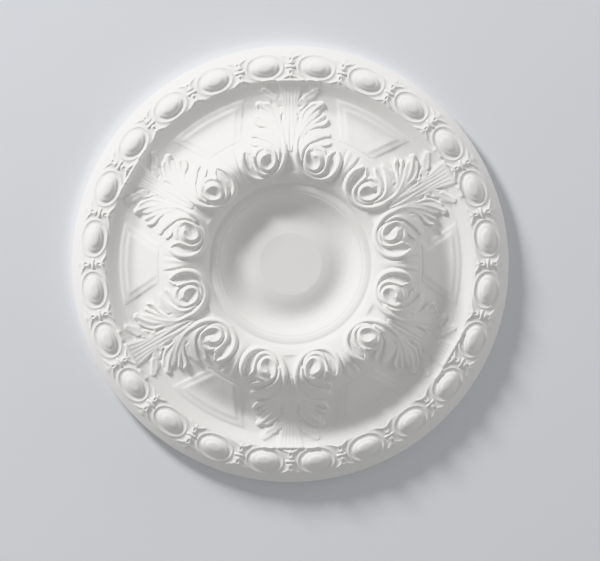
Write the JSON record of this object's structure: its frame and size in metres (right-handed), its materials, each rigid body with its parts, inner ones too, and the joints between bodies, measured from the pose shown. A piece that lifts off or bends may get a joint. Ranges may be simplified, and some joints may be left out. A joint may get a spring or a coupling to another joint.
{
  "type": "ceiling rose",
  "caption": "Round moulded ceiling rose: plain centre disc in a dish, a ring with acanthus leaves and volutes, moulded panels between them, an egg-and-tie border and a flat back.",
  "frame": {"origin": "centre of the flat back face, which goes against the ceiling", "axes": "+Z out of the carved face, +X to the picture's right and +Y to its top"},
  "size_m": [0.6, 0.6, 0.0599],
  "materials": {
    "white_primed_polyurethane": "matt factory primer on moulded polyurethane"
  },
  "bodies": {
    "root": {"ceiling_rose": "white_primed_polyurethane"}
  },
  "joints": []
}
